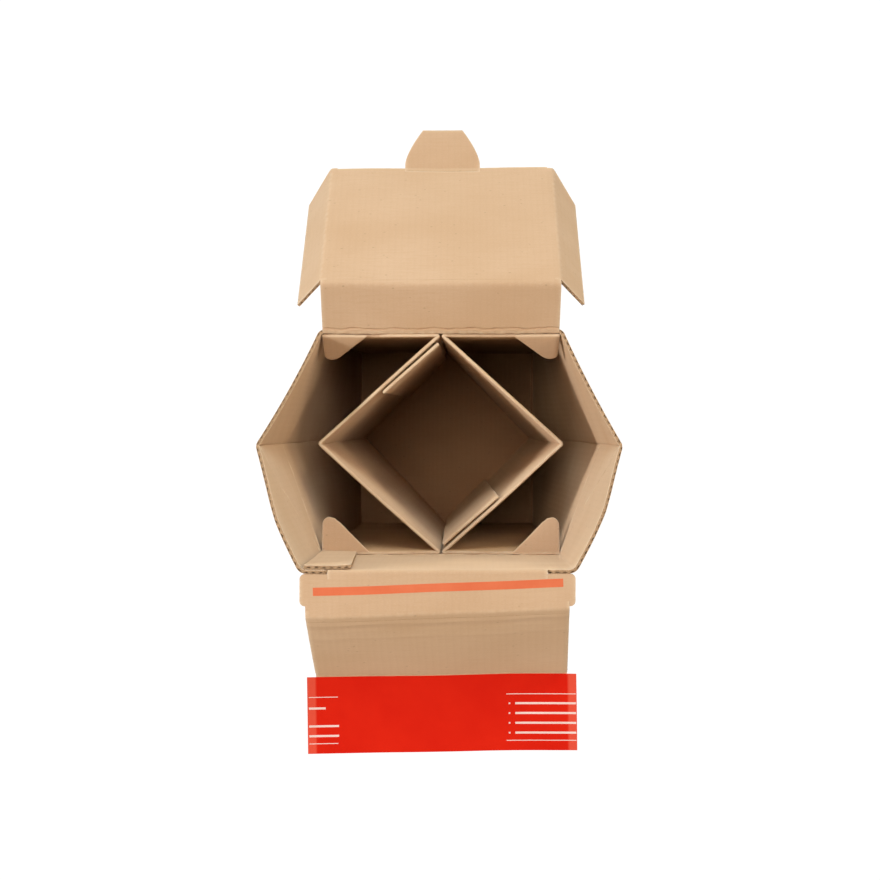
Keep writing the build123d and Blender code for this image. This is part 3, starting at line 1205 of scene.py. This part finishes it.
# Cell: a square tube set cornerwise, made of two folded halves
cell = dict(
    floorWidth=59.0,
    rimWidth=62.3,
    clearance=0.4,  # between the two halves in the middle
    glue=0.1,
    play=0.3,  # between a flange's end and the case's corner
    lengths=(60.0, 82.0, 82.0, 60.0),
    lap=38.0,
    radius=1.0,
    cornerShare=0.6,  # of half the thickness, from a middle corner's face to its middle line
    rimDrop=0.4,
    lapDrop=0.8,
    earBases=(23.0, 24.0),  # the back ears, then the front ones
    earLengths=(22.0, 18.0),
    earTip=6.0,
    earSlopes=(-60.0, -12.0),
    earSlack=2.5,  # softness of the corner between an ear's round end and its slant
    earRound=4.0,
    earDroop=0.004,
    flangeDrop=2.6,  # how much lower the flanges end behind the back wall's bead
    flangeFull=(27.0, 1.5),  # how far they keep their height, on the left and the right half
)
floorTop = 2 * board["thickness"]


def innerCorner(z):
    # x and y of the case's inner corner
    depth = case["depth"] / 2 - case["lean"] * z
    bulge = case["bulgeAtFloor"] + growth * z
    thick = board["thickness"]
    return case["width"] / 2 - thick * (np.hypot(depth, bulge) - bulge) / depth, depth - thick


def cellWidth(z):
    # how far the cell's side corner lies from the middle, growing evenly with the height
    return cell["floorWidth"] + (cell["rimWidth"] - cell["floorWidth"]) * z / case["backHeight"]


def cellCorners(z):
    # middle line of the right half: flange, V and flange, from the front to the back
    width = cellWidth(z)
    cornerX, cornerY = innerCorner(z)
    depth = cornerY - cell["glue"]
    share = 1 - half * np.hypot(width, depth) / (width * depth)
    end = cornerX - cell["play"]
    start = np.full_like(z, cell["clearance"] / 2 + half * cell["cornerShare"])
    inside = depth - half
    vee = (width * share, np.zeros_like(z))
    return [(end, -inside), (start, -inside), vee, (start, inside), (end, inside)]


# u runs along the half: flange, wall, wall and flange
cellStations = np.cumsum([0, *cell["lengths"]])


def cellMid(side):
    # the lines between the corners at height v, averaged over the fold radius
    def mid(u, v):
        corners = cellCorners(v)
        steps = np.linspace(-1, 1, 7) * cell["radius"]
        total = 0
        for step in steps:
            total = total + alongCorners(u + step, corners, cellStations)
        flat = total / len(steps) * side
        return np.stack([flat[..., 0], flat[..., 1], v], -1)

    return mid


def cellColumns():
    # even along each wall and close together round the three folds and at both ends
    marks = [np.array([0, 0.4, 1.0])]
    for first, last in zip(cellStations[:-1], cellStations[1:]):
        marks.append(np.linspace(first + 3, last - 3, round((last - first) / 3)))
        marks.append(first + np.array([-1.6, -1, -0.5, 0, 0.5, 1, 1.6]))
    marks = np.unique(np.concatenate(marks + [cellStations[-1] - np.array([0, 0.4, 1.0])]))
    return marks[(marks >= 0) & (marks <= cellStations[-1])]


def cellTop(side):
    # wavy, and lower where the back flange hides behind the fold of the riser
    def top(u):
        fromCorner = u - cellStations[3] if side == 1 else cellStations[1] - u
        full = cell["flangeFull"][0 if side == -1 else 1]
        drop = cell["flangeDrop"] * smoothStep((fromCorner - full) / 4)
        return case["backHeight"] - cell["rimDrop"] + 0.4 * ripple(u, 90, 80 + side) - drop

    return top


def lapMid(side):
    # the lap lies inside the other half's wall, one board further in
    def mid(u, v):
        width = cellWidth(v)
        depth = innerCorner(v)[1] - cell["glue"]
        across = np.hypot(width, depth)
        share = 1 - (half * 3 + cell["glue"]) * across / (width * depth)
        x = -u * width / across
        y = depth * share - u * depth / across
        return np.stack([x * side, y * side, v], -1)

    return mid


def earSheet(side, end, base, length, slope):
    # end is 1 at the half's first flange and -1 at its other one; base is the ear's width at its fold
    cornerX, cornerY = innerCorner(case["backHeight"])
    flangeY = end * (cornerY - cell["glue"] - half)
    origin = np.array([side * (cornerX - cell["play"]), side * flangeY, case["backHeight"] - half])
    along = np.array([-side, 0.0, 0.0])
    away = np.array([0.0, -end * side * math.cos(math.radians(slope)), math.sin(math.radians(slope))])

    def far(u):
        # straight on the case's side, slanted on the other, with round corners
        u = np.abs(u)
        slanted = length * (base - u) / (base - cell["earTip"])
        past = np.clip(1 - u / cell["earRound"], 0, 1)
        rounded = length - cell["earRound"] * (1 - np.sqrt(1 - past**2))
        share = np.clip(0.5 + (rounded - slanted) / cell["earSlack"] / 2, 0, 1)
        soft = np.minimum(slanted, rounded) - cell["earSlack"] * share * (1 - share)
        return np.maximum(soft, 0.4)

    # u runs towards the V; it is turned round where the ear would otherwise face down
    turn = -1 if np.cross(along, away)[2] < 0 else 1

    def mid(u, v):
        # flat, less a droop that grows with the square of the distance from the fold
        droop = np.stack([v * 0, v * 0, -cell["earDroop"] * v**2], -1)
        return origin + (turn * u)[..., None] * along + v[..., None] * away + droop

    columns = np.concatenate([[0.0, 0.02, 0.3, 1.0], np.linspace(2, base - 0.3, 22)])
    columns = columns if turn == 1 else -columns[::-1]
    return boardSheet(mid, columns, everywhere(0), far, shift=(side * 50 + 400, end * 70), closed=True)


for side, word in ((1, "right"), (-1, "left")):
    offset = 2000 + side * 300
    walls = boardSheet(
        cellMid(side),
        cellColumns(),
        everywhere(floorTop + 0.1),
        cellTop(side),
        rows=24,
        inside=-1,
        shift=(offset, 0),
        closed=True,
    )
    lapSheet = boardSheet(
        lapMid(side),
        columnsBetween(1.5, cell["lap"], 2.4),
        everywhere(floorTop + 0.1),
        lambda u: case["backHeight"] - cell["lapDrop"] + 0.3 * ripple(u, 40, 90 + side),
        rows=24,
        inside=-1,
        cuts=(True, True, False, True),
        shift=(offset + 200, 0),
        closed=True,
    )
    ears = []
    for end in (1, -1):
        kind = 0 if end == side else 1
        base, length, slope = cell["earBases"][kind], cell["earLengths"][kind], cell["earSlopes"][kind]
        ears += earSheet(side, end, base, length, slope)
    boardPiece(f"cell_walls_{word}", walls + lapSheet + ears, "box", f"cell_{word}")
print("cell made")


# Tapes
tapes = dict(
    tearOffset=6.6,
    tearLength=109.5,
    tearWidth=3.6,
    adhesiveOffset=16.0,
    adhesiveWidth=24.0,
    adhesiveLength=110.6,
    linerOffset=18.55,
    linerLength=124.0,
    linerWidth=35.2,
    tearLevel=half + 0.06,
    adhesiveLevel=half + 0.13,
    linerLevel=half + 0.32,
    tearThickness=0.1,
    adhesiveThickness=0.2,
    linerThickness=0.09,
)


def tapeMaterial(name, base, dark, roughness, gloss):
    # a film with blotches and streaks, through which the flutes show as a low wave
    material, tree, shader = newMaterial(name, roughness)
    flat = flatMap(tree)
    blotches = noise(tree, stretched(tree, flat, 60, 60), 4)
    streaks = noise(tree, stretched(tree, flat, 25, 900), 2)
    tone = mixed(tree, ranged(tree, blotches, 0.3, 0.7, 0, 1), base, dark)
    tone = mixed(tree, ranged(tree, streaks, 0.5, 0.8, 0, 0.35), tone, dark)
    tree.links.new(tone, shader.inputs["Base Color"])
    shader.inputs["Specular IOR Level"].default_value = gloss
    height = calculated(tree, "MULTIPLY", fluteWaves(tree, flat), 0.00002)
    height = calculated(tree, "ADD", height, calculated(tree, "MULTIPLY", blotches, 0.00015))
    addBump(tree, shader, height, 0.8)
    return material


def tapeSheet(mid, length, middle, width, level, thick, columns, rows, wave=None):
    # a thin strip at a level above the board's middle surface
    u = np.repeat(np.linspace(-length / 2, length / 2, columns)[:, None], rows, 1)
    v = np.repeat(np.linspace(middle - width / 2, middle + width / 2, rows)[None], columns, 0)
    centre, normal = surfaceFrame(mid, u, v)
    lift = level + (wave(u, v) if wave else 0) + np.zeros_like(u)
    return gridSolid(centre, normal, lift + thick / 2, lift - thick / 2, u, v, np.zeros_like(u), (0, 0, 0))


# the tape runs beside the long panel's fold and is as skewed
skewedX = turned(tearX, up, closure["skew"])
skewedY = turned(tearDirection, up, closure["skew"])
tearTapeMaterial = tapeMaterial("tear_tape_plastic", colour(231, 121, 79), colour(222, 107, 66), 0.5, 0.25)
tearTape = tapeSheet(
    panelMid(tearRoot, skewedX, skewedY),
    tapes["tearLength"],
    tapes["tearOffset"],
    tapes["tearWidth"],
    tapes["tearLevel"],
    tapes["tearThickness"],
    90,
    5,
)
tapePiece = makeObject("tear_tape_strip", [tearTape], [tearTapeMaterial], "tear")
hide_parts("tear_tape")

sealMid = panelMid(sealRoot, sealX, sealDirection)
adhesiveMaterial = tapeMaterial("adhesive_film", colour(214, 196, 168), colour(196, 176, 146), 0.35, 0.5)
adhesive = tapeSheet(
    sealMid,
    tapes["adhesiveLength"],
    tapes["adhesiveOffset"],
    tapes["adhesiveWidth"],
    tapes["adhesiveLevel"],
    tapes["adhesiveThickness"],
    60,
    8,
)
adhesivePiece = makeObject("adhesive_layer", [adhesive], [adhesiveMaterial], "seal")
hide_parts("adhesive_strip")


def linerWave(u, v):
    # the film follows the adhesive and lifts off beyond it, with small cockles
    beyond = np.clip(np.abs(u) - tapes["adhesiveLength"] / 2, 0, None)
    return 0.012 * beyond**1.6 + 0.05 * ripple(u + 0.4 * v, 23, 101) + 0.03 * ripple(v, 11, 102)


def linerMaterial():
    # red film with low cockles, and painted light where it stands out past the panel
    material, tree, shader = newMaterial("release_film", 0.6)
    flat = flatMap(tree)
    parts = node(tree, "ShaderNodeSeparateXYZ", {0: flat})
    blotches = noise(tree, stretched(tree, flat, 45, 45), 4)
    tone = mixed(tree, ranged(tree, blotches, 0.3, 0.7, 0, 1), colour(229, 37, 15), colour(221, 30, 11))
    # painted light: it is paler where it stands out past the panel, as if the white floor shone through the
    # film
    fromMiddle = calculated(tree, "ABSOLUTE", parts.outputs[0])
    paintedShineThrough = ranged(tree, fromMiddle, 0.0575, 0.0585, 0, 0.6)
    tone = mixed(tree, paintedShineThrough, tone, colour(242, 104, 80))
    tree.links.new(tone, shader.inputs["Base Color"])
    shader.inputs["Specular IOR Level"].default_value = 0.06
    fine = noise(tree, stretched(tree, flat, 500, 500), 2)
    cockles = calculated(tree, "MULTIPLY", blotches, 0.0002)
    addBump(tree, shader, calculated(tree, "ADD", cockles, calculated(tree, "MULTIPLY", fine, 0.00001)), 0.7)
    return material


liner = tapeSheet(
    sealMid,
    tapes["linerLength"],
    tapes["linerOffset"],
    tapes["linerWidth"],
    tapes["linerLevel"],
    tapes["linerThickness"],
    120,
    30,
    linerWave,
)
linerPiece = makeObject("release_liner_film", [liner], [linerMaterial()], "seal")
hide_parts("release_liner")

# Plain print on the liner: thin rules, bullet dots and bars
ink = dict(
    level=0.012,
    sunk=0.02,  # how far the ink reaches into the film
    rule=0.35,
    bar=0.95,
    bullet=0.75,
    rulesLeft=(0.7, 14.2),
    rulesRight=(91.6, 123.6),
    ruleRows=(9.3, 30.6),
    bulletColumn=92.6,
    bulletRows=(13.6, 18.1, 22.6, 27.1),
    barStart=95.6,
    leftBars=((14.4, 8.5), (22.6, 14.6), (27.1, 14.6)),
)


def inkBar(start, end, row, height):
    # distances are from the liner's left and top edges
    place = np.linspace(end, start, 24)[:, None]
    down = np.linspace(row - height / 2, row + height / 2, 3)[None, :]
    u = tapes["linerLength"] / 2 - place + 0 * down
    v = tapes["linerOffset"] - tapes["linerWidth"] / 2 + down + 0 * place
    centre, normal = surfaceFrame(sealMid, u, v)
    lift = tapes["linerLevel"] + tapes["linerThickness"] / 2 + linerWave(u, v)
    top, bottom = lift + ink["level"], lift - ink["sunk"]
    return gridSolid(centre, normal, top, bottom, u, v, np.zeros_like(u), (0, 0, 0))


def linerPrint():
    # two rules on each side, dots with bars on the right and short bars on the left
    marks = []
    for row in ink["ruleRows"]:
        marks.append(inkBar(*ink["rulesLeft"], row, ink["rule"]))
        marks.append(inkBar(*ink["rulesRight"], row, ink["rule"]))
    for row in ink["bulletRows"]:
        marks.append(inkBar(ink["barStart"], ink["rulesRight"][1], row, ink["bar"]))
        marks.append(inkBar(ink["bulletColumn"], ink["bulletColumn"] + ink["bullet"], row, ink["bullet"]))
    for row, end in ink["leftBars"]:
        marks.append(inkBar(ink["rulesLeft"][0], end, row, ink["bar"]))
    return marks


inkMaterial = tapeMaterial("white_ink", colour(247, 226, 220), colour(240, 208, 200), 0.5, 0.4)
makeObject("liner_print", linerPrint(), [inkMaterial], "seal")
print("tapes made")


# Studio: white floor and surroundings, and soft lamps of which the left one is the strongest
studio = dict(fill=0.015, floor=6.0, floorGlow=0.93, glow=1.08, aim=0.3, lampDistance=1.6)
# each lamp shines from its direction on a point at the height of the aim, and a strength of 1
# lights a white surface that faces it up to white
lamps = (
    dict(name="left", direction=(-0.72, 0.05, 0.69), size=0.3, strength=0.41, tint=(1, 0.99, 0.98)),
    dict(name="right", direction=(0.62, 0.12, 0.77), size=0.3, strength=0.14, tint=(1, 0.86, 0.68)),
    dict(name="low_front", direction=(0, -0.92, 0.39), size=0.5, strength=0.13, tint=(1, 0.93, 0.8)),
    dict(name="behind", direction=(0, 0.75, 0.66), size=0.6, strength=0.13, tint=(0.45, 0.7, 1)),
    dict(name="behind_right", direction=(0.4, 0.65, 0.65), size=0.5, strength=0.15, tint=(1, 0.9, 0.72)),
    dict(name="back", direction=(-0.05, 0.5, 0.86), size=0.6, strength=0.21, tint=(0.82, 0.95, 1)),
    dict(name="above", direction=(-0.05, 0.07, 1), size=0.4, strength=0.15, tint=(1, 0.78, 0.58),
         distance=2.0),
    dict(name="front", direction=(0, -0.55, 0.83), size=0.6, strength=0.04, tint=(1, 0.95, 0.9)),
    dict(name="above_right", direction=(0.25, 0.2, 0.95), size=0.4, strength=0.09, tint=(1, 0.95, 0.88),
         distance=1.8),
)


def seenDirectly(tree):
    # 1 for the camera's own rays and for those that gloss or clear film passes on
    path = node(tree, "ShaderNodeLightPath")
    seen = calculated(tree, "MAXIMUM", path.outputs["Is Camera Ray"], path.outputs["Is Glossy Ray"])
    return calculated(tree, "MAXIMUM", seen, path.outputs["Is Transmission Ray"])


def studioWorld():
    # white where it is seen, and faint where it only lights
    world = bpy.data.worlds.new("studio")
    bpy.context.scene.world = world
    world.use_nodes = True
    tree = world.node_tree
    strength = ranged(tree, seenDirectly(tree), 0, 1, studio["fill"], 1)
    background = tree.nodes["Background"]
    background.inputs["Color"].default_value = (1, 1, 1, 1)
    tree.links.new(strength, background.inputs["Strength"])


def studioFloor():
    # a square that glows white where it is seen, and otherwise is pale and matt
    mesh = bpy.data.meshes.new("floor")
    reach = studio["floor"] / 2
    corners = [(-reach, -reach, 0), (reach, -reach, 0), (reach, reach, 0), (-reach, reach, 0)]
    mesh.from_pydata(corners, [], [(0, 1, 2, 3)])
    floor = bpy.data.objects.new("floor", mesh)
    bpy.context.scene.collection.objects.link(floor)
    material = bpy.data.materials.new("pale_floor")
    material.use_nodes = True
    tree = material.node_tree
    tree.nodes.remove(tree.nodes["Principled BSDF"])
    output = tree.nodes["Material Output"]
    matte = node(tree, "ShaderNodeBsdfDiffuse", {"Color": (0.86, 0.86, 0.86, 1)})
    glow = node(tree, "ShaderNodeEmission", {"Color": (1, 1, 1, 1), "Strength": studio["glow"]})
    share = calculated(tree, "MULTIPLY", seenDirectly(tree), studio["floorGlow"])
    both = node(tree, "ShaderNodeMixShader", {0: share, 1: matte.outputs[0], 2: glow.outputs[0]})
    tree.links.new(both.outputs[0], output.inputs["Surface"])
    mesh.materials.append(material)
    floor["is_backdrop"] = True


def addLamp(name, direction, size, strength, tint, distance=studio["lampDistance"]):
    # a disc; its energy grows with the square of its distance, so that its strength holds
    data = bpy.data.lights.new(name, "AREA")
    data.shape = "DISK"
    data.size = size
    data.energy = strength * (math.pi * distance) ** 2
    data.color = tint
    toward = unit(np.array(direction))
    lamp = bpy.data.objects.new(name, data)
    lamp.location = toward * distance + np.array([0, 0, studio["aim"]])
    lamp.rotation_mode = "QUATERNION"
    lamp.rotation_quaternion = Vector(-toward).to_track_quat("-Z", "Y")
    bpy.context.scene.collection.objects.link(lamp)


# Camera: looks down into the box from a little to the right of and behind its middle
view = dict(lens=74.76, sensor=36.0, place=(0.0110, 0.0107, 1.2631), aboutX=0.545, aboutY=-0.716)


def addCamera():
    data = bpy.data.cameras.new("camera")
    data.lens = view["lens"]
    data.sensor_width = view["sensor"]
    data.clip_start, data.clip_end = 0.05, 20.0
    viewer = bpy.data.objects.new("camera", data)
    aboutX = Matrix.Rotation(math.radians(view["aboutX"]), 3, "X")
    aboutY = Matrix.Rotation(math.radians(view["aboutY"]), 3, "Y")
    viewer.matrix_world = Matrix.Translation(view["place"]) @ (aboutX @ aboutY).transposed().to_4x4()
    bpy.context.scene.collection.objects.link(viewer)
    bpy.context.scene.camera = viewer


studioWorld()
studioFloor()
for lamp in lamps:
    addLamp(**lamp)
addCamera()
bpy.context.scene.view_settings.view_transform = "Standard"
print("studio made")

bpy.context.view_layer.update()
triangles = {o.name: sum(len(p.vertices) - 2 for p in o.data.polygons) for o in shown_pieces()}
print("triangles:", sum(triangles.values()), max(triangles.items(), key=lambda item: item[1]))
